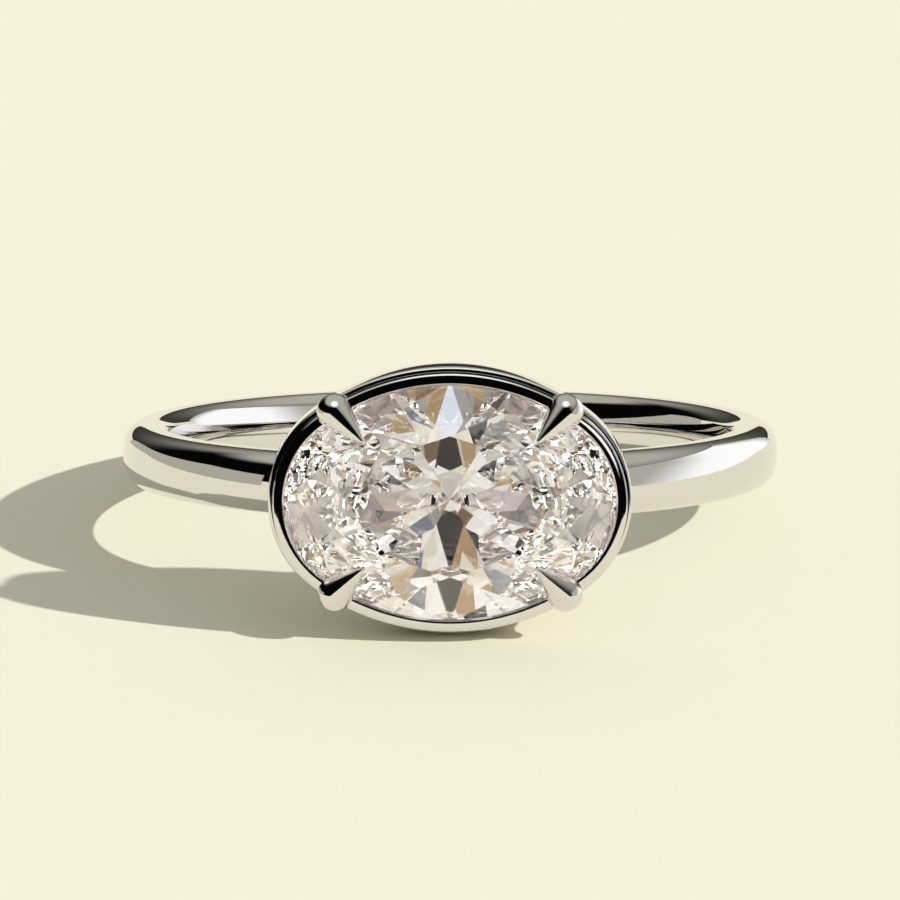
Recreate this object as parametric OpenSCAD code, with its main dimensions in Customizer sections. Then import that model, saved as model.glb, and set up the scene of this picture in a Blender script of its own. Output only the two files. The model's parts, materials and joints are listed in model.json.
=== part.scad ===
// East west ring: a plain band that carries an oval brilliant with its long axis
// across the finger, in an oval bezel with a stepped rim and four pointed claws.
// The ring lies on its side. Millimetres, +Z up, origin at the centre of the
// finger hole, stone towards -Y.

/* [Band] */
// Diameter of the finger hole
finger_d = 16.5; // [15:0.1:20]
// Width of the band along the finger
band_w = 1.78; // [1.6:0.02:2.2]
// Thickness of the band at the middle of its width
band_t = 1.5; // [1.3:0.05:2]
// Radius across the domed outer face of the band
band_dome_r = 2.2; // [1.8:0.1:4]
// Radius of the two outer edges of the band
band_edge_r = 0.6; // [0.4:0.05:0.7]
// Radius of the two inner edges of the band
band_inner_r = 0.35; // [0.15:0.05:0.45]

/* [Stone] */
// Length of the stone, across the finger
stone_l = 9.2; // [8.4:0.1:10.4]
// Width of the stone, along the finger
stone_w = 6.6; // [6:0.1:7.2]
// Radius of the stone's outline at its two ends
stone_end_r = 2.65; // [2.4:0.05:2.8]
// Height of the crown, from the girdle to the table
crown_h = 0.95; // [0.8:0.05:1.2]
// Thickness of the girdle
girdle_h = 0.12; // [0.06:0.02:0.2]
// Depth of the pavilion, from the girdle to the culet
pavilion_h = 2.8; // [2.6:0.05:3]
// Table size as a share of the outline
table_share = 0.58; // [0.5:0.01:0.65]
// Height of the star facets as a share of the crown
star_share = 0.42; // [0.3:0.01:0.55]
// Reach of the lower girdle facets as a share of the pavilion
lower_share = 0.77; // [0.65:0.01:0.85]

/* [Bezel] */
// Metal between the culet and the finger hole
culet_cover = 0.9; // [0.6:0.05:1.1]
// How far the lip covers the edge of the stone
lip_cover = 0.1; // [0.06:0.01:0.16]
// Width of the upper rim, from the lip to the step
rim_w = 0.31; // [0.26:0.01:0.4]
// Height of the upper rim above the middle of the girdle
rim_h = 0.25; // [0.22:0.01:0.32]
// Drop of the rim's face from its inner to its outer edge
rim_fall = 0.015; // [0:0.005:0.03]
// Width of the bevel on each edge of the rim
rim_bevel = 0.05; // [0.02:0.01:0.07]
// Depth of the step between the upper rim and the wall
step_h = 0.42; // [0.3:0.02:0.6]
// Width of the flat ledge at the foot of the step
ledge_w = 0.04; // [0.02:0.01:0.08]
// Reach of the wall beyond the stone's outline, at its widest
wall_out = 0.385; // [0.34:0.005:0.5]
// Depth of the widest part of the wall below the middle of the girdle
wall_back = 1.2; // [1:0.05:1.4]
// Radius that rounds the wall at its widest part
wall_r = 0.45; // [0.3:0.05:0.5]
// Width of the seat under the edge of the stone
seat_w = 0.45; // [0.3:0.05:0.6]
// Inset of the foot of the bezel from the stone's outline
foot_in = 1.3; // [1.1:0.05:1.4]
// Wall thickness of the foot of the bezel
foot_t = 0.6; // [0.5:0.05:0.7]
// Metal between the foot of the bezel and the finger hole
foot_cover = 0.6; // [0.5:0.05:0.8]

/* [Claws] */
// Diameter of the round base of each claw
claw_d = 0.98; // [0.8:0.02:1.1]
// Diameter of the point of each claw
claw_tip_d = 0.12; // [0.1:0.01:0.2]
// Direction of the stone's edge at each claw, from the long axis
claw_at = 58.5; // [50:0.5:64]
// Distance of the centre of the base outside the stone's outline
claw_out = 0.08; // [0:0.01:0.14]
// Height of the centre of the base above the middle of the girdle
claw_h = 0.14; // [0.05:0.01:0.25]
// Length of the claw over the stone, seen from the front
claw_reach = 1.05; // [0.9:0.05:1.2]
// Angle of the claw to the long axis, seen from the front
claw_heading = 45; // [35:1:58]
// Diameter of the post that carries each claw
post_d = 0.8; // [0.6:0.02:0.86]
// Length of the post below the middle of the girdle
post_l = 1.3; // [0.8:0.1:1.4]
// Inset of the foot of the post from the stone's outline
post_in = 0.15; // [0.1:0.05:0.3]

/* [Fit] */
// Clearance between the stone and the metal
stone_gap = 0.04; // [0.02:0.01:0.06]

/* [Hidden] */
$fn = 96;

finger_r = finger_d / 2;
band_outer_r = finger_r + band_t;

// The oval outline is four tangent arcs: two ends and two long sides
half_l = stone_l / 2;
half_w = stone_w / 2;
end_centre = half_l - stone_end_r;
side_r = (pow(end_centre, 2) + pow(half_w, 2) - pow(stone_end_r, 2))
       / (2 * (half_w - stone_end_r));
side_centre = side_r - half_w;
joint_angle = atan2(side_centre, end_centre);
joint_far = [end_centre, 0] + stone_l * [cos(joint_angle), sin(joint_angle)];

// Distance of the middle of the girdle from the finger's axis
girdle_reach = finger_r + culet_cover + pavilion_h + girdle_h / 2;

// Point of the outline, grown by a margin, where its outward normal has an angle
function outline(angle, margin = 0) =
    let (c = cos(angle), s = sin(angle), lean = atan2(abs(s), abs(c)))
    lean <= joint_angle
        ? [sign(c) * end_centre + (stone_end_r + margin) * c, (stone_end_r + margin) * s]
        : [(side_r + margin) * c, (side_r + margin) * s - sign(s) * side_centre];

// Brilliant cut: eight mains round the stone, spaced as on an ellipse of its size
mains = 8;
function main_angle(k) = let (turn = 360 * k / mains)
    atan2(half_l * sin(turn), half_w * cos(turn));
function normal(k) = [cos(main_angle(k)), sin(main_angle(k))];
function meet(na, ca, nb, cb) = let (det = na.x * nb.y - na.y * nb.x)
    [(ca * nb.y - cb * na.y) / det, (na.x * cb - nb.x * ca) / det];
function at_height(point, z) = [point.x, point.y, z];

// Height of the kite facet of main k above a point of the girdle plane
function kite_height(k, point) =
    let (edge = outline(main_angle(k)) * normal(k))
    girdle_h / 2 + crown_h * (edge - point * normal(k)) / (edge * (1 - table_share));

// Centre of the round of the band's outer edge, from the finger's axis and mid-width
edge_centre = [band_outer_r - band_edge_r, band_w / 2 - band_edge_r];

// Profile of the bezel: x is the distance outside the stone's outline and
// y the height above the middle of the girdle
lip_x = -lip_cover;
step_x = lip_x + rim_w;
ledge_y = rim_h - step_h;
wall_top = [step_x + ledge_w, ledge_y];
wall_centre = [wall_out - wall_r, -wall_back];
foot_y = finger_r + foot_cover - girdle_reach;
foot_edge = [-foot_in, foot_y];
function tangent_turn(point) = let (away = point - wall_centre) acos(wall_r / norm(away));
function bearing(point) = let (away = point - wall_centre) atan2(away.y, away.x);
function on_wall_round(angle) = wall_centre + wall_r * [cos(angle), sin(angle)];
wall_front = on_wall_round(bearing(wall_top) - tangent_turn(wall_top));
wall_rear = on_wall_round(bearing(foot_edge) + tangent_turn(foot_edge));

// Claw: a round base on the rim that tapers to a point resting on the crown
claw_base = outline(claw_at, claw_out);
claw_tip = claw_base - claw_reach * [cos(claw_heading), sin(claw_heading)];
claw_tip_r = claw_tip_d / 2;
claw_tip_h = kite_height(1, claw_tip) + claw_tip_r + stone_gap;
claw_axis = [claw_tip.x - claw_base.x, claw_tip.y - claw_base.y, claw_tip_h - claw_h];
post_foot = outline(claw_at, -post_in);
post_axis = [claw_base.x - post_foot.x, claw_base.y - post_foot.y, claw_h + post_l];

// On its side the ring rests on the round of the bezel wall and the rear edge of
// the band: the tilt is that of the line tangent to both rounds from below
front_round = [wall_back - girdle_reach, -(half_w + wall_centre.x)];
rear_round = [edge_centre.x, -edge_centre.y];
rest_span = rear_round - front_round;
rest_tilt = atan2(rest_span.y, rest_span.x) + asin((wall_r - band_edge_r) / norm(rest_span));

// Section of the band: domed outside, flat inside, all four edges round
module band_section() {
    inner = [finger_r + band_inner_r, band_w / 2 - band_inner_r];
    intersection() {
        union() {
            translate([finger_r, -inner.y]) square([band_edge_r, 2 * inner.y]);
            translate([inner.x, -band_w / 2]) square([edge_centre.x - inner.x, band_w]);
            translate([inner.x, -edge_centre.y]) square([band_outer_r - inner.x, 2 * edge_centre.y]);
            for (side = [-1, 1]) {
                translate([inner.x, side * inner.y]) circle(band_inner_r);
                translate([edge_centre.x, side * edge_centre.y]) circle(band_edge_r);
            }
        }
        translate([band_outer_r - band_dome_r, 0]) circle(band_dome_r);
    }
}

module bezel_section() {
    polygon([
        [lip_x, rim_h - rim_bevel],
        [lip_x + rim_bevel, rim_h],
        [step_x - rim_bevel, rim_h - rim_fall],
        [step_x, rim_h - rim_fall - rim_bevel],
        [step_x, ledge_y],
        wall_top,
        wall_front,
        wall_centre,
        wall_rear,
        foot_edge,
        [-foot_in - foot_t, foot_y],
        [-seat_w, -wall_back],
        [-seat_w, -girdle_h],
        [lip_x, 0]
    ]);
    translate(wall_centre) circle(wall_r);
}

// Sweeps a profile round the oval outline: each arc is a full turn, cut to its own
// sector, and neighbouring sectors share the line through both their centres
module sweep_outline() {
    for (end = [0, 1]) mirror([end, 0, 0]) intersection() {
        translate([end_centre, 0, 0]) rotate_extrude()
            translate([stone_end_r, 0]) children();
        sector([[end_centre, 0], [joint_far.x, -joint_far.y], joint_far]);
    }
    for (side = [0, 1]) mirror([0, side, 0]) intersection() {
        translate([0, -side_centre, 0]) rotate_extrude()
            translate([side_r, 0]) children();
        sector([[end_centre, 0], joint_far, [-joint_far.x, joint_far.y], [-end_centre, 0]]);
    }
}

module sector(corners) {
    translate([0, 0, -girdle_reach]) linear_extrude(2 * girdle_reach) polygon(corners);
}

// Turns +Z to a direction
module aim(direction) {
    rotate([0, acos(direction.z / norm(direction)), atan2(direction.y, direction.x)]) children();
}

module claw_horn(length, base_r, tip_r) {
    lean = asin((base_r - tip_r) / length);
    rotate_extrude() intersection() {
        union() {
            circle(base_r);
            translate([0, length]) circle(tip_r);
            polygon([[0, 0], base_r * [cos(lean), sin(lean)],
                     [0, length] + tip_r * [cos(lean), sin(lean)], [0, length]]);
        }
        translate([0, -base_r]) square([base_r, base_r + length + tip_r]);
    }
}

module claw() {
    translate([claw_base.x, claw_base.y, claw_h]) aim(claw_axis)
        claw_horn(norm(claw_axis), claw_d / 2, claw_tip_r);
    translate([post_foot.x, post_foot.y, -post_l]) aim(post_axis)
        cylinder(h = norm(post_axis), d = post_d);
}

// The brilliant, grown by a margin on all sides
module brilliant(margin = 0) {
    girdle_z = girdle_h / 2 + margin;
    star_z = girdle_z + crown_h * (1 - star_share);
    lower_z = -girdle_z - pavilion_h * lower_share;
    edges = [for (k = [0 : mains]) outline(main_angle(k), margin) * normal(k)];
    table = [for (k = [0 : mains - 1])
        at_height(table_share * outline(main_angle(k), margin), girdle_z + crown_h)];
    stars = [for (k = [0 : mains - 1]) let (kept = 1 - (1 - star_share) * (1 - table_share))
        at_height(meet(normal(k), kept * edges[k], normal(k + 1), kept * edges[k + 1]), star_z)];
    girdle = [for (k = [0 : 0.5 : mains - 0.5]) outline(main_angle(k), margin)];
    upper = [for (point = girdle) at_height(point, girdle_z)];
    under = [for (point = girdle) at_height(point, -girdle_z)];
    lowers = [for (k = [0 : mains - 1]) let (kept = 1 - lower_share)
        at_height(meet(normal(k), kept * edges[k], normal(k + 1), kept * edges[k + 1]), lower_z)];
    culet = [0, 0, -girdle_z - pavilion_h];

    star_at = mains;
    upper_at = star_at + mains;
    under_at = upper_at + 2 * mains;
    lower_at = under_at + 2 * mains;
    culet_at = lower_at + mains;
    polyhedron(
        points = concat(table, stars, upper, under, lowers, [culet]),
        faces = [
            [for (k = [mains - 1 : -1 : 0]) k],
            for (k = [0 : mains - 1]) let (
                next = (k + 1) % mains, last = (k + mains - 1) % mains,
                star = star_at + k, lower = lower_at + k,
                top = upper_at + 2 * k, top_next = upper_at + 2 * next,
                low = under_at + 2 * k, low_next = under_at + 2 * next
            ) each [
                [next, star, k],
                [k, star, top, star_at + last],
                [star, top + 1, top],
                [star, top_next, top + 1],
                [top, top + 1, low + 1, low],
                [top + 1, top_next, low_next, low + 1],
                [low, low + 1, lower],
                [low + 1, low_next, lower],
                [low, lower, culet_at, lower_at + last]
            ]
        ]
    );
}

// From the stone's frame, with its table up, to the ring's frame
module at_head() {
    translate([0, -girdle_reach, 0]) rotate([90, 0, 0]) children();
}

// From the ring's frame, with the finger's axis up, to the ring lying on its side
module at_rest() {
    rotate([-rest_tilt, 0, 0]) children();
}

module ring_mount() color("silver") at_rest() difference() {
    union() {
        rotate_extrude() band_section();
        at_head() {
            sweep_outline() bezel_section();
            for (end = [0, 1], side = [0, 1])
                mirror([end, 0, 0]) mirror([0, side, 0]) claw();
        }
    }
    at_head() brilliant(stone_gap);
}

module stone() color("whitesmoke") at_rest() at_head() brilliant();

ring_mount();
stone();
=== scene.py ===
"""East west ring, lying on its side: the looks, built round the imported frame.

A plain polished band carries an oval brilliant across the finger, in an oval bezel
with a stepped rim and four pointed claws. Sizes are in millimetres and pieces in
metres. The head faces -Y, where the camera is, and +Z is up.
"""

import math

import bpy
from mathutils import Matrix, Vector
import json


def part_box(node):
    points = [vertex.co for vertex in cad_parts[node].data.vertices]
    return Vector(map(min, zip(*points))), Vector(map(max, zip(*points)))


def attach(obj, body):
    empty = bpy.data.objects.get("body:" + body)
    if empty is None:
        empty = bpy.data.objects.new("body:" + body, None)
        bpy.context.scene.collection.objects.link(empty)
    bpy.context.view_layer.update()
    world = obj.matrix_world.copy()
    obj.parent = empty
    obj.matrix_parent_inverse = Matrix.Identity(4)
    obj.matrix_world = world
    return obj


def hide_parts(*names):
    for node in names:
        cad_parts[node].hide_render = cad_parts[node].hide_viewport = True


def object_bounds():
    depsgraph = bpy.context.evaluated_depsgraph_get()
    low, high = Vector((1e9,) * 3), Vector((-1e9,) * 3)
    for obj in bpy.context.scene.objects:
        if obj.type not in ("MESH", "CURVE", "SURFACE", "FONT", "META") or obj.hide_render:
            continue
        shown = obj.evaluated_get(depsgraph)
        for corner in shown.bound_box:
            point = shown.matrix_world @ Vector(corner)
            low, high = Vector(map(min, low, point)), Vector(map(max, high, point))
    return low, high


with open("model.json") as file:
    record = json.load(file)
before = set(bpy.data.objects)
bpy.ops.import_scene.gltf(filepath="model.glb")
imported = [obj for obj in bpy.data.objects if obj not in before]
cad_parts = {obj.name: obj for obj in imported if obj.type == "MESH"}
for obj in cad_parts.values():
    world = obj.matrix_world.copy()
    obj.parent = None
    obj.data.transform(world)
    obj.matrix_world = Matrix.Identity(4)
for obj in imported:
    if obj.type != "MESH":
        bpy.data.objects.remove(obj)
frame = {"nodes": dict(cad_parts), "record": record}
cad_low, cad_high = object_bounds()

MM = 0.001
finger_bore = frame["record"]["mounts"][0]
stone_low, stone_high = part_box("stone")

# Band
FINGER_R = finger_bore["dims"]["r_mm"]
BAND_W = 1.78
BAND_T = 1.5
BAND_DOME_R = 2.2
BAND_EDGE_R = 0.6
BAND_COMFORT_R = 3.3
BAND_CREST_DROP = 0.2
BAND_INNER_R = 0.45
BAND_STEPS = 360

# Stone, whose outline is four tangent arcs: two ends and two long sides
HALF_L = (stone_high.x - stone_low.x) / 2 / MM
HALF_W = 3.3
STONE_END_R = 2.65
CROWN_H = 0.95
GIRDLE_H = 0.12
PAVILION_H = 2.8
TABLE_SHARE = 0.58
CULET_COVER = 0.9
STONE_GAP = 0.04
CUT_GAP = 0.05
SEAT_SLOPE = 1.0
CROWN_Y = GIRDLE_H / 2 + STONE_GAP
END_CENTRE = HALF_L - STONE_END_R
SIDE_R = (END_CENTRE**2 + HALF_W**2 - STONE_END_R**2) / (2 * (HALF_W - STONE_END_R))
SIDE_CENTRE = SIDE_R - HALF_W
JOINT_ANGLE = math.atan2(SIDE_CENTRE, END_CENTRE)
GIRDLE_REACH = FINGER_R + CULET_COVER + PAVILION_H + GIRDLE_H / 2

# Corners of the stone's mesh are one if they agree to this many decimals of a metre
MATCH_DIGITS = 6

# Bezel: a profile that is swept round the outline
LIP_COVER = 0.1
LIP_BEVEL = 0.05
RIM_W = 0.32
RIM_H = 0.25
RIM_RISE = 0.006
RIM_FALL = 0.017
RIM_CROWN_R = 1.0
RIM_BEVEL_W = 0.04
RIM_BEVEL_H = 0.03
STEP_H = 0.6
LEDGE_W = 0.14
SHOULDER_R = 0.09
WALL_OUT = 0.385
WALL_BACK = 1.2
WALL_R = 0.45
SEAT_W = 0.45
FOOT_IN = 1.3
FOOT_T = 0.6
FOOT_COVER = 0.6
LIP_R = 0.01
CREASE_R = 0.008
RIM_EDGE_R = 0.012
STEP_R = 0.005
SEAT_EDGE_R = 0.02
BACK_R = 0.05
OUTLINE_STEPS = 96

# Claws
CLAW_R = 0.49
CLAW_TIP_R = 0.06
CLAW_AT = math.radians(58.5)
CLAW_OUT = 0.08
CLAW_H = 0.14
CLAW_REACH = 1.05
CLAW_HEADING = math.radians(45)
POST_R = 0.4
POST_L = 1.3
POST_IN = 0.15
CLAW_STEPS = 64

# Longest turn of an arc between two points, and the angle from which an edge is shaded sharp
ARC_TURN = math.radians(4)
SHARP_ANGLE = math.radians(32)

# Places: the ring as it lies, and the stone's own frame with its table along +Z
REST_TILT = math.atan2(finger_bore["axis"][1], finger_bore["axis"][2])
AT_REST = Matrix.Scale(MM, 4) @ Matrix.Rotation(-REST_TILT, 4, "X")
AT_HEAD = AT_REST @ Matrix.Translation((0, -GIRDLE_REACH, 0)) @ Matrix.Rotation(math.pi / 2, 4, "X")


def polar(angle, radius=1.0):
    return Vector((math.cos(angle), math.sin(angle))) * radius


def outline(angle, margin=0.0):
    """Point of the stone's outline, grown by a margin, where its outward normal has an angle."""
    c, s = math.cos(angle), math.sin(angle)
    if math.atan2(abs(s), abs(c)) <= JOINT_ANGLE:
        radius = STONE_END_R + margin
        return Vector((math.copysign(END_CENTRE, c) + radius * c, radius * s))
    radius = SIDE_R + margin
    return Vector((radius * c, radius * s - math.copysign(SIDE_CENTRE, s)))


def outline_angles():
    """Normal angles round the outline, evenly spaced along each of its four arcs."""
    stops = [-JOINT_ANGLE, JOINT_ANGLE, math.pi - JOINT_ANGLE, math.pi + JOINT_ANGLE]
    stops.append(stops[0] + math.tau)
    return [
        start + (end - start) * step / OUTLINE_STEPS
        for start, end in zip(stops, stops[1:])
        for step in range(OUTLINE_STEPS)
    ]


def arc(centre, radius, start, end):
    steps = max(1, math.ceil(abs(end - start) / ARC_TURN))
    return [centre + polar(start + (end - start) * i / steps, radius) for i in range(steps + 1)]


def rounded(corners):
    """Arcs, one for each (x, y, radius) corner of a closed outline."""
    bends = []
    for i, (x, y, radius) in enumerate(corners):
        corner = Vector((x, y))
        before = (Vector(corners[i - 1][:2]) - corner).normalized()
        after = (Vector(corners[(i + 1) % len(corners)][:2]) - corner).normalized()
        half = before.angle(after) / 2
        centre = corner + (before + after).normalized() * radius / math.sin(half)
        first = corner + before * radius / math.tan(half) - centre
        last = corner + after * radius / math.tan(half) - centre
        start = math.atan2(first.y, first.x)
        turn = math.remainder(math.atan2(last.y, last.x) - start, math.tau)
        bends.append(arc(centre, radius, start, start + turn))
    return bends


def add_mesh(name, points, faces, material):
    """A new object with a smooth-shaded mesh, its sharp edges kept, and one material."""
    mesh = bpy.data.meshes.new(name)
    mesh.from_pydata(points, [], faces)
    mesh.update()
    mesh.validate()
    mesh.shade_smooth()
    mesh.set_sharp_from_angle(angle=SHARP_ANGLE)
    mesh.materials.append(material)
    piece = bpy.data.objects.new(name, mesh)
    bpy.context.scene.collection.objects.link(piece)
    return piece


def ring_faces(rings, size):
    """Quads of a closed sweep: each ring of points joins the next, and the last the first."""
    faces = []
    for r in range(rings):
        here, there = r * size, (r + 1) % rings * size
        for i in range(size):
            j = (i + 1) % size
            faces.append((here + i, here + j, there + j, there + i))
    return faces


def lathe(profile, steps):
    """Points and faces of a profile, listed as (radius, height) from pole to pole, turned about Z."""
    points = [Vector((0, 0, profile[0].y))]
    for point in profile[1:-1]:
        for i in range(steps):
            side = polar(math.tau * i / steps, point.x)
            points.append(Vector((side.x, side.y, point.y)))
    points.append(Vector((0, 0, profile[-1].y)))
    last = len(points) - 1
    faces = []
    for i in range(steps):
        j = (i + 1) % steps
        faces.append((0, 1 + j, 1 + i))
        faces.append((last, last - steps + i, last - steps + j))
        for ring in range(len(profile) - 3):
            low = 1 + ring * steps
            faces.append((low + i, low + j, low + steps + j, low + steps + i))
    return points, faces


def domed_face(dome_r, edge_r, width):
    """Part of a face of the band, from the crest of its dome at (0, 0) round an edge at a width."""
    dome = Vector((-dome_r, 0))
    lean = math.asin((width - edge_r) / (dome_r - edge_r))
    edge = dome + polar(lean, dome_r - edge_r)
    return arc(dome, dome_r, 0, lean)[:-1] + arc(edge, edge_r, lean, math.pi / 2)


def band_half(side):
    """Upper (1) or lower (-1) half of the band's section, from the outer crest to the inner one."""
    drop = side * BAND_CREST_DROP
    outside = domed_face(BAND_DOME_R, BAND_EDGE_R, BAND_W / 2)
    inside = domed_face(BAND_COMFORT_R, BAND_INNER_R, BAND_W / 2 + drop)
    half = [Vector((FINGER_R + BAND_T + point.x, side * point.y)) for point in outside]
    half += [Vector((FINGER_R - point.x, side * (point.y - drop))) for point in reversed(inside)]
    return half


def band_profile():
    """Section of the band, x from the finger's axis: domed outside and, more gently, inside."""
    return band_half(1) + band_half(-1)[-2:0:-1]


def make_band(material):
    profile = band_profile()
    points = []
    for step in range(BAND_STEPS):
        turn = Matrix.Rotation(math.tau * step / BAND_STEPS, 4, "Z")
        points += [AT_REST @ turn @ Vector((point.x, 0, point.y)) for point in profile]
    return add_mesh("band", points, ring_faces(BAND_STEPS, len(profile)), material)


def tangent_bearings(point, centre, radius):
    """Directions from a circle's centre to the two places where lines from a point touch it."""
    away = Vector(point) - centre
    bearing = math.atan2(away.y, away.x)
    turn = math.acos(radius / away.length)
    return bearing - turn, bearing + turn


def bezel_outside():
    """Corners of the bezel's section from the lip to the foot, x outside the stone's outline."""
    lip_x = -LIP_COVER
    step_x = lip_x + RIM_W
    ledge_y = RIM_H - STEP_H
    wall_top = (step_x + LEDGE_W, ledge_y)
    foot_y = FINGER_R + FOOT_COVER - GIRDLE_REACH
    foot_edge = (-FOOT_IN, foot_y)
    wall_centre = Vector((WALL_OUT - WALL_R, -WALL_BACK))
    front = tangent_bearings(wall_top, wall_centre, WALL_R)[0]
    rear = tangent_bearings(foot_edge, wall_centre, WALL_R)[1] - math.tau
    wall = wall_centre + polar((front + rear) / 2, WALL_R / math.cos((front - rear) / 2))
    lip_y = CROWN_Y + LIP_COVER * CROWN_H / (HALF_W * (1 - TABLE_SHARE))
    face_in, face_out = lip_x + LIP_BEVEL, step_x - RIM_BEVEL_W
    return [
        (lip_x, lip_y, LIP_R),
        (lip_x, RIM_H - LIP_BEVEL, CREASE_R),
        (face_in, RIM_H - RIM_RISE, CREASE_R),
        ((face_in + face_out) / 2, RIM_H, RIM_CROWN_R),
        (face_out, RIM_H - RIM_FALL, CREASE_R),
        (step_x, RIM_H - RIM_FALL - RIM_BEVEL_H, RIM_EDGE_R),
        (step_x, ledge_y, STEP_R),
        (*wall_top, SHOULDER_R),
        (*wall, WALL_R),
        (*foot_edge, BACK_R),
        (-FOOT_IN - FOOT_T, foot_y, BACK_R),
    ]


def bezel_seat():
    """The rest of the bezel's corners: its inside, under the stone."""
    return [
        (-SEAT_W, -WALL_BACK, BACK_R),
        (-SEAT_W, -CROWN_Y - SEAT_SLOPE * SEAT_W, SEAT_EDGE_R),
        (STONE_GAP, -CROWN_Y, LIP_R),
        (STONE_GAP, CROWN_Y, LIP_R),
    ]


def make_bezel(material, seat_material):
    outside = bezel_outside()
    bends = rounded(outside + bezel_seat())
    profile = [point for bend in bends for point in bend]
    seat_start = sum(len(bend) for bend in bends[:len(outside)]) - 1
    angles = outline_angles()
    points = []
    for angle in angles:
        for point in profile:
            place = outline(angle, point.x)
            points.append(AT_HEAD @ Vector((place.x, place.y, point.y)))
    bezel = add_mesh("bezel", points, ring_faces(len(angles), len(profile)), material)
    bezel.data.materials.append(seat_material)
    for face in bezel.data.polygons:
        face.material_index = int(face.index % len(profile) >= seat_start)
    return bezel


def main_angle(k, mains=8):
    turn = math.tau * k / mains
    return math.atan2(HALF_L * math.sin(turn), HALF_W * math.cos(turn))


def kite_height(k, point):
    """Height of the kite facet of main k above a point of the girdle's plane."""
    normal = polar(main_angle(k))
    edge = outline(main_angle(k)).dot(normal)
    return GIRDLE_H / 2 + CROWN_H * (edge - point.dot(normal)) / (edge * (1 - TABLE_SHARE))


def horn_profile(length, base_r, tip_r):
    """A round base that tapers to a small round tip."""
    lean = math.asin((base_r - tip_r) / length)
    profile = arc(Vector((0, 0)), base_r, -math.pi / 2, lean)
    profile += arc(Vector((0, length)), tip_r, lean, math.pi / 2)
    return profile


def along(start, end):
    """Places +Z from one point towards another."""
    turn = (end - start).to_track_quat("Z", "Y").to_matrix().to_4x4()
    return Matrix.Translation(start) @ turn


def make_claw(name, mirror, material):
    """Two overlapping horns: the claw, from its round base to its tip, and the post under it."""
    base = outline(CLAW_AT, CLAW_OUT)
    tip = base - polar(CLAW_HEADING, CLAW_REACH)
    foot = outline(CLAW_AT, -POST_IN)
    tip_h = kite_height(1, tip) + CLAW_TIP_R + STONE_GAP
    base = Vector((base.x, base.y, CLAW_H))
    tip = Vector((tip.x, tip.y, tip_h))
    foot = Vector((foot.x, foot.y, -POST_L))
    points, faces = [], []
    for start, end, start_r, end_r in ((base, tip, CLAW_R, CLAW_TIP_R), (foot, base, POST_R, POST_R)):
        profile = horn_profile((end - start).length, start_r, end_r)
        horn, horn_faces = lathe(profile, CLAW_STEPS)
        offset = len(points)
        place = AT_HEAD @ mirror @ along(start, end)
        points += [place @ point for point in horn]
        faces += [tuple(offset + i for i in face) for face in horn_faces]
    if mirror.determinant() < 0:
        faces = [face[::-1] for face in faces]
    return add_mesh(name, points, faces, material)


def make_cutter(stone):
    """The stone grown on all sides: the room that the metal leaves for it.

    Each corner moves out along the mean of its faces' normals. Faces that meet may hold
    a corner each, so corners are matched by their place.
    """
    leans, faces = {}, []
    for face in stone.data.polygons:
        places = [stone.data.vertices[i].co for i in face.vertices]
        corners = [tuple(round(value, MATCH_DIGITS) for value in place) for place in places]
        for corner in corners:
            leans[corner] = leans.get(corner, Vector()) + face.normal
        faces.append(corners)
    points = [
        stone.matrix_world @ (Vector(corner) + lean.normalized() * CUT_GAP * MM)
        for corner, lean in leans.items()
    ]
    number = {corner: i for i, corner in enumerate(leans)}
    grown = bpy.data.meshes.new("stone_room")
    grown.from_pydata(points, [], [[number[corner] for corner in corners] for corners in faces])
    cutter = bpy.data.objects.new("stone_room", grown)
    bpy.context.scene.collection.objects.link(cutter)
    return cutter


def cut_out(piece, cutter, crosses_itself):
    """Takes the cutter's volume away from a piece and keeps the result as the piece's mesh."""
    cut = piece.modifiers.new("stone_room", "BOOLEAN")
    cut.object = cutter
    cut.operation = "DIFFERENCE"
    cut.solver = "EXACT"
    cut.use_self = crosses_itself
    evaluated = piece.evaluated_get(bpy.context.evaluated_depsgraph_get())
    mesh = bpy.data.meshes.new_from_object(evaluated)
    piece.modifiers.clear()
    piece.data = mesh
    mesh.set_sharp_from_angle(angle=SHARP_ANGLE)


class Graph:
    """Adds nodes to a node tree; each method returns the new node's output."""

    def __init__(self, tree):
        self.tree = tree
        self.tree.nodes.clear()

    def node(self, kind, inputs=None, **settings):
        made = self.tree.nodes.new(kind)
        for name, value in settings.items():
            setattr(made, name, value)
        for socket, value in (inputs or {}).items():
            if isinstance(value, bpy.types.NodeSocket):
                self.tree.links.new(value, made.inputs[socket])
            else:
                made.inputs[socket].default_value = value
        return made

    def math(self, operation, first, second=0.0):
        return self.node("ShaderNodeMath", {0: first, 1: second}, operation=operation).outputs[0]

    def smooth(self, value, low, high, to_low=0.0, to_high=1.0):
        made = self.node(
            "ShaderNodeMapRange",
            {"Value": value, "From Min": low, "From Max": high, "To Min": to_low, "To Max": to_high},
            interpolation_type="SMOOTHSTEP",
        )
        return made.outputs["Result"]

    def noise(self, place, scale, detail):
        made = self.node("ShaderNodeTexNoise", {"Vector": place, "Scale": scale, "Detail": detail})
        return made.outputs["Fac"]

    def mix(self, share, first, second):
        made = self.node("ShaderNodeMix", data_type="RGBA")
        for socket, value in ((0, share), (6, first), (7, second)):
            if isinstance(value, bpy.types.NodeSocket):
                self.tree.links.new(value, made.inputs[socket])
            elif socket == 0:
                made.inputs[socket].default_value = value
            else:
                made.inputs[socket].default_value = (*value, 1.0)
        return made.outputs[2]


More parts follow.
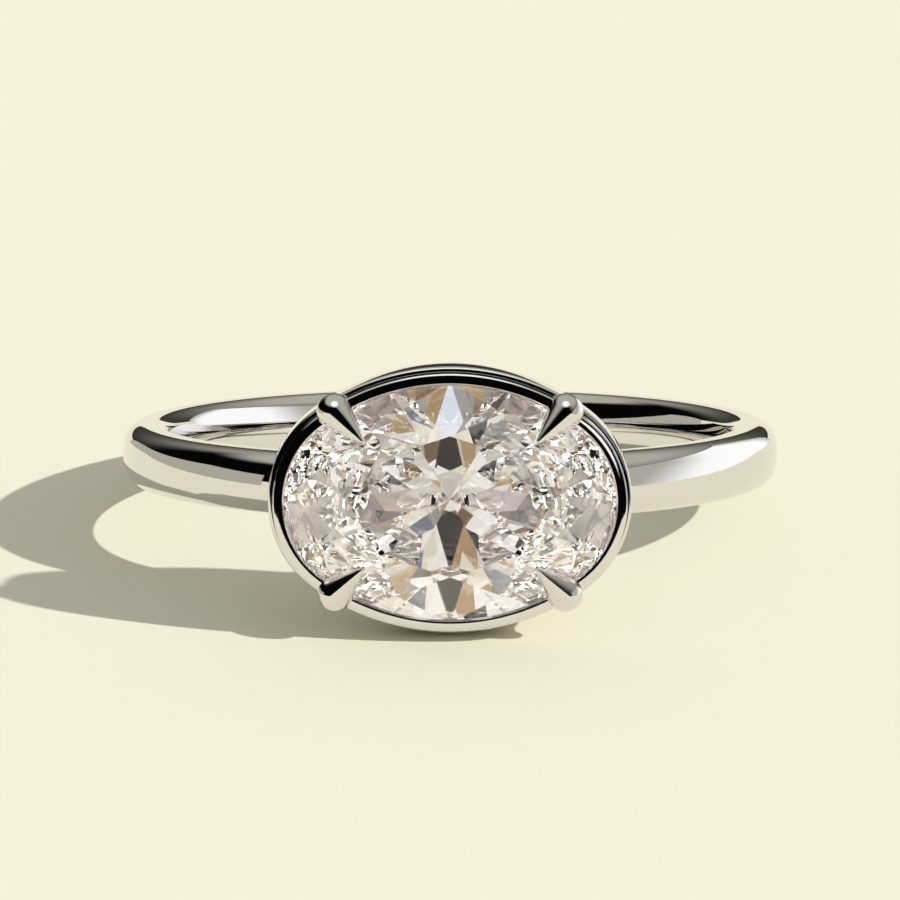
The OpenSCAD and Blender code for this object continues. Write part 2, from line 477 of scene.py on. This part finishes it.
# Materials. Noise scales are in cells per metre, the marks' depth is in metres, and a
# finish is its least and its most roughness.
GOLD_CLOUD_SCALE = 900.0
GOLD_CLOUD_RANGE = (0.3, 0.7)
GOLD_MARK_SCALE = 12000.0
GOLD_MARK_STRENGTH = 0.02
GOLD_MARK_DEPTH = 0.00001
GOLD_TINTS = (0.785, 0.76, 0.765), (0.81, 0.785, 0.79)
POLISHED = (0.02, 0.035)
SATIN = (0.3, 0.4)
DIAMOND_IOR = 2.42
DIAMOND_CLOUD_SCALE = 500.0
DIAMOND_TINTS = (1.0, 0.995, 0.99), (0.99, 0.98, 0.965)
PAPER_FIBRE_SCALE = 3000.0
PAPER_TINTS = (0.792, 0.756, 0.6), (0.808, 0.772, 0.616)


def new_material(name):
    material = bpy.data.materials.new(name)
    material.use_nodes = True
    return material, Graph(material.node_tree)


def make_white_gold(name, smoothest, roughest):
    """White gold whose roughness wanders between two values, with fine polishing marks."""
    material, graph = new_material(name)
    place = graph.node("ShaderNodeTexCoord").outputs["Object"]
    cloud = graph.noise(place, GOLD_CLOUD_SCALE, detail=3.0)
    marks = graph.noise(place, GOLD_MARK_SCALE, detail=4.0)
    colour = graph.mix(cloud, *GOLD_TINTS)
    roughness = graph.smooth(cloud, *GOLD_CLOUD_RANGE, smoothest, roughest)
    bump = graph.node(
        "ShaderNodeBump",
        {"Height": marks, "Strength": GOLD_MARK_STRENGTH, "Distance": GOLD_MARK_DEPTH},
    )
    shader = graph.node(
        "ShaderNodeBsdfPrincipled",
        {"Base Color": colour, "Metallic": 1.0, "Roughness": roughness, "Normal": bump.outputs[0]},
    )
    graph.node("ShaderNodeOutputMaterial", {"Surface": shader.outputs[0]})
    return material


def make_diamond():
    """Clear stone, very faintly warmer in places.

    It is perfectly smooth, so that the world can tell its reflections from the metal's.
    """
    material, graph = new_material("diamond")
    place = graph.node("ShaderNodeTexCoord").outputs["Object"]
    colour = graph.mix(graph.noise(place, DIAMOND_CLOUD_SCALE, detail=2.0), *DIAMOND_TINTS)
    shader = graph.node(
        "ShaderNodeBsdfPrincipled",
        {"Base Color": colour, "Roughness": 0.0, "IOR": DIAMOND_IOR, "Transmission Weight": 1.0},
    )
    graph.node("ShaderNodeOutputMaterial", {"Surface": shader.outputs[0]})
    return material


def make_paper():
    material, graph = new_material("cream_paper")
    place = graph.node("ShaderNodeTexCoord").outputs["Object"]
    colour = graph.mix(graph.noise(place, PAPER_FIBRE_SCALE, detail=4.0), *PAPER_TINTS)
    shader = graph.node("ShaderNodeBsdfDiffuse", {"Color": colour})
    graph.node("ShaderNodeOutputMaterial", {"Surface": shader.outputs[0]})
    return material


def make_floor(material):
    """Pale paper under the ring. Light that has passed the stone misses it and sees the studio."""
    half, z = FLOOR_HALF * MM, cad_low.z
    mesh = bpy.data.meshes.new("floor")
    corners = [(-half, -half, z), (half, -half, z), (half, half, z), (-half, half, z)]
    mesh.from_pydata(corners, [], [(0, 1, 2, 3)])
    mesh.materials.append(material)
    floor = bpy.data.objects.new("floor", mesh)
    floor.visible_transmission = False
    bpy.context.scene.collection.objects.link(floor)


def sky_direction(azimuth, elevation):
    """Unit vector; azimuth 0 is -Y, towards the camera, and 90 is +X, in degrees."""
    a, e = math.radians(azimuth), math.radians(elevation)
    return Vector((math.cos(e) * math.sin(a), -math.cos(e) * math.cos(a), math.sin(e)))


def make_key_light():
    sun = bpy.data.lights.new("key", "SUN")
    sun.energy = KEY_STRENGTH
    sun.angle = math.radians(KEY_WIDTH)
    key = bpy.data.objects.new("key", sun)
    key.rotation_euler = sky_direction(*KEY_FROM).to_track_quat("Z", "Y").to_euler()
    key.visible_glossy = False
    key.visible_transmission = False
    bpy.context.scene.collection.objects.link(key)


# What lights the scene, and what the metal reflects, as linear colours
AMBIENT = (0.519, 0.519, 0.519)
DOME_GREY = (0.5, 0.5, 0.43)
DARK_GREY = (0.04, 0.04, 0.034)
FLAG_BLACK = (0.002, 0.002, 0.002)
WALL_GREY = (0.48, 0.48, 0.39)
BOX_WHITE = (1.2, 1.23, 1.21)

# The dome brightens from the horizon up to this elevation, slowly at first
DOME_TOP = 45.0
DOME_POWER = 1.5

# Lamps that the metal reflects: azimuth, elevation, inner and outer radius, in degrees
LAMP_ABOVE = (2, 62, 12, 26)
LAMP_IN_FRONT = (9, 7, 2.5, 4.5)

# Panels of the studio, by their four stops in azimuth and in elevation
FLAG = (-160, -128, 20, 62), (-91, -90, 36, 50)
OVERHEAD = (-80, -74, 74, 80), (15, 18, 58, 62)

# What the stone reflects from its outside, and the tones that are seen through it
GLEAM = (0.06, 0.06, 0.06)
STONE_WHITE = (1.06, 1.0, 0.94)
PINK = (0.74, 0.685, 0.62)
ICE = (0.95, 1.02, 1.12)
TAN = (0.5, 0.34, 0.18)
BROWN = (0.2, 0.12, 0.05)
GREY = (0.34, 0.33, 0.32)
SLATE = (0.2, 0.22, 0.27)
LENS_BLACK = (0.012, 0.012, 0.012)
SPARKLE = (3.2, 3.2, 3.1)

# The stone sees a studio of small cells, each of one tone: the share of cells before it, and its colour.
# Overhead they are darker and warmer.
CELLS_PER_RADIAN = 5.0
STONE_TONES = (
    (0.42, (0.72, 0.675, 0.6)),
    (0.6, (0.92, 0.86, 0.7)),
    (0.74, GREY),
    (0.82, TAN),
    (0.9, SLATE),
    (0.95, LENS_BLACK),
)
OVERHEAD_TONES = (
    (0.34, (0.7, 0.62, 0.5)),
    (0.46, TAN),
    (0.6, BROWN),
    (0.7, GREY),
    (0.78, LENS_BLACK),
)

# Light that bounces this often, mostly under the stone's ends, comes out too dim.
# It is seen as one plain tone, and the gain makes up for what it loses.
LONG_WAY = 17.5
LONG_WAY_GAIN = 5.2

# Round cards and lights that only the stone sees: azimuth, elevation, inner and outer radius, colour
STONE_CARDS = (
    (0, -34, 9, 9.5, PINK),
    (58, -12, 6, 6.5, PINK),
    (-58, -12, 6, 6.5, PINK),
    (12, 24, 4.5, 5, TAN),
    (-12, 24, 4.5, 5, GREY),
    (24, 36, 6, 6.5, BROWN),
    (-24, 36, 6, 6.5, TAN),
    (36, 24, 4, 4.5, GREY),
    (-36, 24, 4, 4.5, BROWN),
    (42, 6, 5, 5.5, SLATE),
    (-42, 6, 4, 4.5, GREY),
    (60, 33, 6, 6.5, TAN),
    (-60, 33, 6, 6.5, GREY),
    (0, 18, 3.2, 3.7, ICE),
    (0, 25, 3, 3.5, LENS_BLACK),
    (0, 11, 3, 3.5, LENS_BLACK),
    (-27, 18, 2.5, 3, SPARKLE),
    (30, 33, 2.5, 3, SPARKLE),
    (4, 50, 3, 3.5, SPARKLE),
)

# Key light: azimuth and elevation, how wide it looks in degrees, and its strength
KEY_FROM = (67, 32)
KEY_WIDTH = 1.2
KEY_STRENGTH = 3.76

# Tall soft box on the right: its card, the stops where its light fades, and its frame
BOX_X = 36
BOX_FRONT = -45
BOX_BACK = 57
BOX_LEAN = 5
BOX_FRONT_TOP = 12
BOX_BACK_TOP = 36
BOX_SLANT = 0.8
BOX_FADE_IN = (-23, -1)
BOX_FADE_OUT = (36, 60)
FRAME_BEHIND = 0.2
FRAME_EDGE = 0.7

# Camera, in degrees and mm, and half the floor's side in mm
CAMERA_ELEVATION = 14.74
CAMERA_DISTANCE = 130
CAMERA_LENS = 174
CAMERA_SENSOR = 36
FLOOR_HALF = 2000

# Most bounces of light, in all and of reflections alone
MOST_BOUNCES = 32
MOST_REFLECTIONS = 24


def panel(graph, azimuth, elevation, azimuths, elevations):
    """Mask of a soft-edged panel of the studio, from four stops each way: out, in, in, out."""
    mask = graph.math(
        "MULTIPLY",
        graph.smooth(azimuth, *azimuths[:2]),
        graph.smooth(azimuth, *azimuths[2:], 1.0, 0.0),
    )
    for stops, ends in ((elevations[:2], (0.0, 1.0)), (elevations[2:], (1.0, 0.0))):
        mask = graph.math("MULTIPLY", mask, graph.smooth(elevation, *stops, *ends))
    return mask


def spot(graph, direction, azimuth, elevation, inner, outer):
    """Mask of a round patch of the studio: full inside one radius and gone at the other, in degrees."""
    axis = sky_direction(azimuth, elevation)
    near = graph.node("ShaderNodeVectorMath", {0: direction, 1: axis}, operation="DOT_PRODUCT")
    edges = math.cos(math.radians(outer)), math.cos(math.radians(inner))
    return graph.smooth(near.outputs["Value"], *edges)


def metal_studio(graph, direction, azimuth, elevation):
    """What the metal reflects far away: a grey dome, a black flag, a lamp above and one in front."""
    height = graph.math("MAXIMUM", graph.math("DIVIDE", elevation, DOME_TOP), 0.0)
    rise = graph.math("POWER", graph.math("MINIMUM", height, 1.0), DOME_POWER)
    light = graph.mix(rise, DARK_GREY, DOME_GREY)
    light = graph.mix(panel(graph, azimuth, elevation, *FLAG), light, FLAG_BLACK)
    for lamp in (LAMP_ABOVE, LAMP_IN_FRONT):
        light = graph.mix(spot(graph, direction, *lamp), light, BOX_WHITE)
    return light


def toned(graph, rank, tones):
    """White cells, and a colour for the cells whose rank is past its share."""
    light = STONE_WHITE
    for share, colour in tones:
        light = graph.mix(graph.math("GREATER_THAN", rank, share), light, colour)
    return light


def stone_studio(graph, direction, azimuth, elevation):
    """What is seen through the stone: toned cells, darker and warmer overhead, and cards."""
    cells = graph.node("ShaderNodeTexVoronoi", {"Vector": direction, "Scale": CELLS_PER_RADIAN})
    rank = graph.node("ShaderNodeSeparateColor", {0: cells.outputs["Color"]}).outputs[0]
    above = panel(graph, azimuth, elevation, *OVERHEAD)
    light = graph.mix(above, toned(graph, rank, STONE_TONES), toned(graph, rank, OVERHEAD_TONES))
    for *card, colour in STONE_CARDS:
        light = graph.mix(spot(graph, direction, *card), light, colour)
    return light


def make_card(name, points, faces, material):
    """A glowing card, its points in mm, that is seen only in reflections."""
    mesh = bpy.data.meshes.new(name)
    mesh.from_pydata([Vector(point) * MM for point in points], [], faces)
    mesh.materials.append(material)
    card = bpy.data.objects.new(name, mesh)
    card.visible_camera = False
    card.visible_diffuse = False
    card.visible_transmission = False
    card.visible_shadow = False
    bpy.context.scene.collection.objects.link(card)


def make_glow(name, colour_of):
    """An emission material; colour_of is given its graph and returns its colour."""
    material, graph = new_material(name)
    shader = graph.node("ShaderNodeEmission", {"Color": colour_of(graph)})
    graph.node("ShaderNodeOutputMaterial", {"Surface": shader.outputs[0]})
    material.cycles.emission_sampling = "NONE"
    return material


def soft_box_light(graph):
    """White, fading to the dome's grey along a slant towards the front and the top, and at the back."""
    place = graph.node("ShaderNodeTexCoord").outputs["Object"]
    part = graph.node("ShaderNodeSeparateXYZ", {0: place})
    raised = graph.math("MULTIPLY", part.outputs["Z"], BOX_SLANT)
    slant = graph.math("SUBTRACT", part.outputs["Y"], raised)
    near = graph.smooth(slant, *[stop * MM for stop in BOX_FADE_IN])
    far = graph.smooth(part.outputs["Y"], *[stop * MM for stop in BOX_FADE_OUT], 1.0, 0.0)
    return graph.mix(graph.math("MULTIPLY", near, far), DOME_GREY, BOX_WHITE)


def soft_box_corners(x, edge):
    """Corners of the tall card on the right, grown by an edge; its top rises towards the back."""
    floor_z = cad_low.z / MM
    return [
        (x, BOX_FRONT, floor_z),
        (x, BOX_BACK + edge, floor_z),
        (x, BOX_BACK + BOX_LEAN + edge, BOX_BACK_TOP + edge),
        (x, BOX_FRONT, BOX_FRONT_TOP + edge),
    ]


def make_soft_box():
    """The white card, and its dark frame just behind it."""
    face = [(0, 1, 2, 3)]
    card_corners = soft_box_corners(BOX_X, 0)
    frame_corners = soft_box_corners(BOX_X + FRAME_BEHIND, FRAME_EDGE)
    frame_glow = make_glow("box_frame", lambda graph: (*DARK_GREY, 1.0))
    make_card("soft_box", card_corners, face, make_glow("soft_box", soft_box_light))
    make_card("box_frame", frame_corners, face, frame_glow)


def make_low_wall():
    """The low grey strip on the left, bent round the ring, with a rounded end at the back."""
    radius, floor_z, top_z, steps = 42, cad_low.z / MM, 5.8, 60
    first, round_until, last = -142, -124, -60
    points = []
    for step in range(steps + 1):
        degrees = first + (last - first) * step / steps
        short = max(0, (round_until - degrees) / (round_until - first))
        azimuth = math.radians(degrees)
        x, y = radius * math.sin(azimuth), -radius * math.cos(azimuth)
        points += [(x, y, floor_z), (x, y, floor_z + (top_z - floor_z) * math.sqrt(1 - short**2))]
    faces = [(2 * i, 2 * i + 2, 2 * i + 3, 2 * i + 1) for i in range(steps)]
    make_card("low_wall", points, faces, make_glow("low_wall", lambda graph: (*WALL_GREY, 1.0)))


def make_front_cloth():
    """Black cloth on the floor well in front, or the stone's table would mirror the horizon as a line."""
    half, near, far, above_floor = 600, -150, -2000, 0.1
    z = cad_low.z / MM + above_floor
    points = [(-half, far, z), (half, far, z), (half, near, z), (-half, near, z)]
    glow = make_glow("front_cloth", lambda graph: (*FLAG_BLACK, 1.0))
    make_card("front_cloth", points, [(0, 1, 2, 3)], glow)


def make_world():
    """The studio, which shows each kind of ray its own side.

    Plain light falls on the paper, the metal reflects one studio, and another is seen
    through the stone. The stone's own reflection, the only sharp one, is a dim gleam.
    """
    world = bpy.data.worlds.new("studio")
    world.use_nodes = True
    world.cycles.sampling_method = "NONE"
    graph = Graph(world.node_tree)
    path = graph.node("ShaderNodeLightPath")
    place = graph.node("ShaderNodeTexCoord").outputs["Generated"]
    part = graph.node("ShaderNodeSeparateXYZ", {0: place})
    elevation = graph.math("DEGREES", graph.math("ARCSINE", part.outputs["Z"]))
    front = graph.math("MULTIPLY", part.outputs["Y"], -1.0)
    azimuth = graph.math("DEGREES", graph.math("ARCTAN2", part.outputs["X"], front))
    metal = metal_studio(graph, place, azimuth, elevation)
    through_stone = graph.math("GREATER_THAN", path.outputs["Transmission Depth"], 0.5)
    mirrored = graph.mix(path.outputs["Is Singular Ray"], metal, GLEAM)
    light = graph.mix(path.outputs["Is Glossy Ray"], AMBIENT, mirrored)
    light = graph.mix(through_stone, light, stone_studio(graph, place, azimuth, elevation))
    long_way = graph.math("GREATER_THAN", path.outputs["Ray Depth"], LONG_WAY)
    faint = graph.math("MULTIPLY", through_stone, long_way)
    light = graph.mix(faint, light, PINK)
    strength = graph.math("ADD", graph.math("MULTIPLY", faint, LONG_WAY_GAIN - 1.0), 1.0)
    shader = graph.node("ShaderNodeBackground", {"Color": light, "Strength": strength})
    graph.node("ShaderNodeOutputWorld", {"Surface": shader.outputs[0]})
    bpy.context.scene.world = world


def make_camera():
    lens = bpy.data.cameras.new("camera")
    lens.sensor_width = CAMERA_SENSOR
    lens.lens = CAMERA_LENS
    lens.clip_start = 0.01
    lens.clip_end = 10
    camera = bpy.data.objects.new("camera", lens)
    back = sky_direction(0, CAMERA_ELEVATION)
    camera.location = back * CAMERA_DISTANCE * MM
    camera.rotation_euler = back.to_track_quat("Z", "Y").to_euler()
    bpy.context.scene.collection.objects.link(camera)
    bpy.context.scene.camera = camera


def set_cycles():
    scene = bpy.context.scene
    scene.view_settings.view_transform = "Standard"
    scene.cycles.max_bounces = MOST_BOUNCES
    scene.cycles.transmission_bounces = MOST_BOUNCES
    scene.cycles.glossy_bounces = MOST_REFLECTIONS
    scene.cycles.use_denoising = True


white_gold = make_white_gold("white_gold", *POLISHED)
satin_gold = make_white_gold("satin_white_gold", *SATIN)
band = make_band(white_gold)
bezel = make_bezel(white_gold, satin_gold)
claws = []
for number, (across, down) in enumerate(((1, 1), (-1, 1), (1, -1), (-1, -1))):
    mirror = Matrix.Diagonal((across, down, 1, 1))
    claws.append(make_claw(f"claw_{number + 1}", mirror, white_gold))

# The bezel's section already clears the stone. A claw is two horns that run into each other.
stone = frame["nodes"]["stone"]
stone_room = make_cutter(stone)
cut_out(band, stone_room, crosses_itself=False)
for claw in claws:
    cut_out(claw, stone_room, crosses_itself=True)
bpy.data.objects.remove(stone_room)

metal = [band, bezel, *claws]
for piece in metal:
    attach(piece, "root")
    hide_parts("ring_mount")
stone.data.materials.clear()
stone.data.materials.append(make_diamond())

make_floor(make_paper())
make_soft_box()
make_low_wall()
make_front_cloth()
make_key_light()
make_world()
make_camera()
set_cycles()
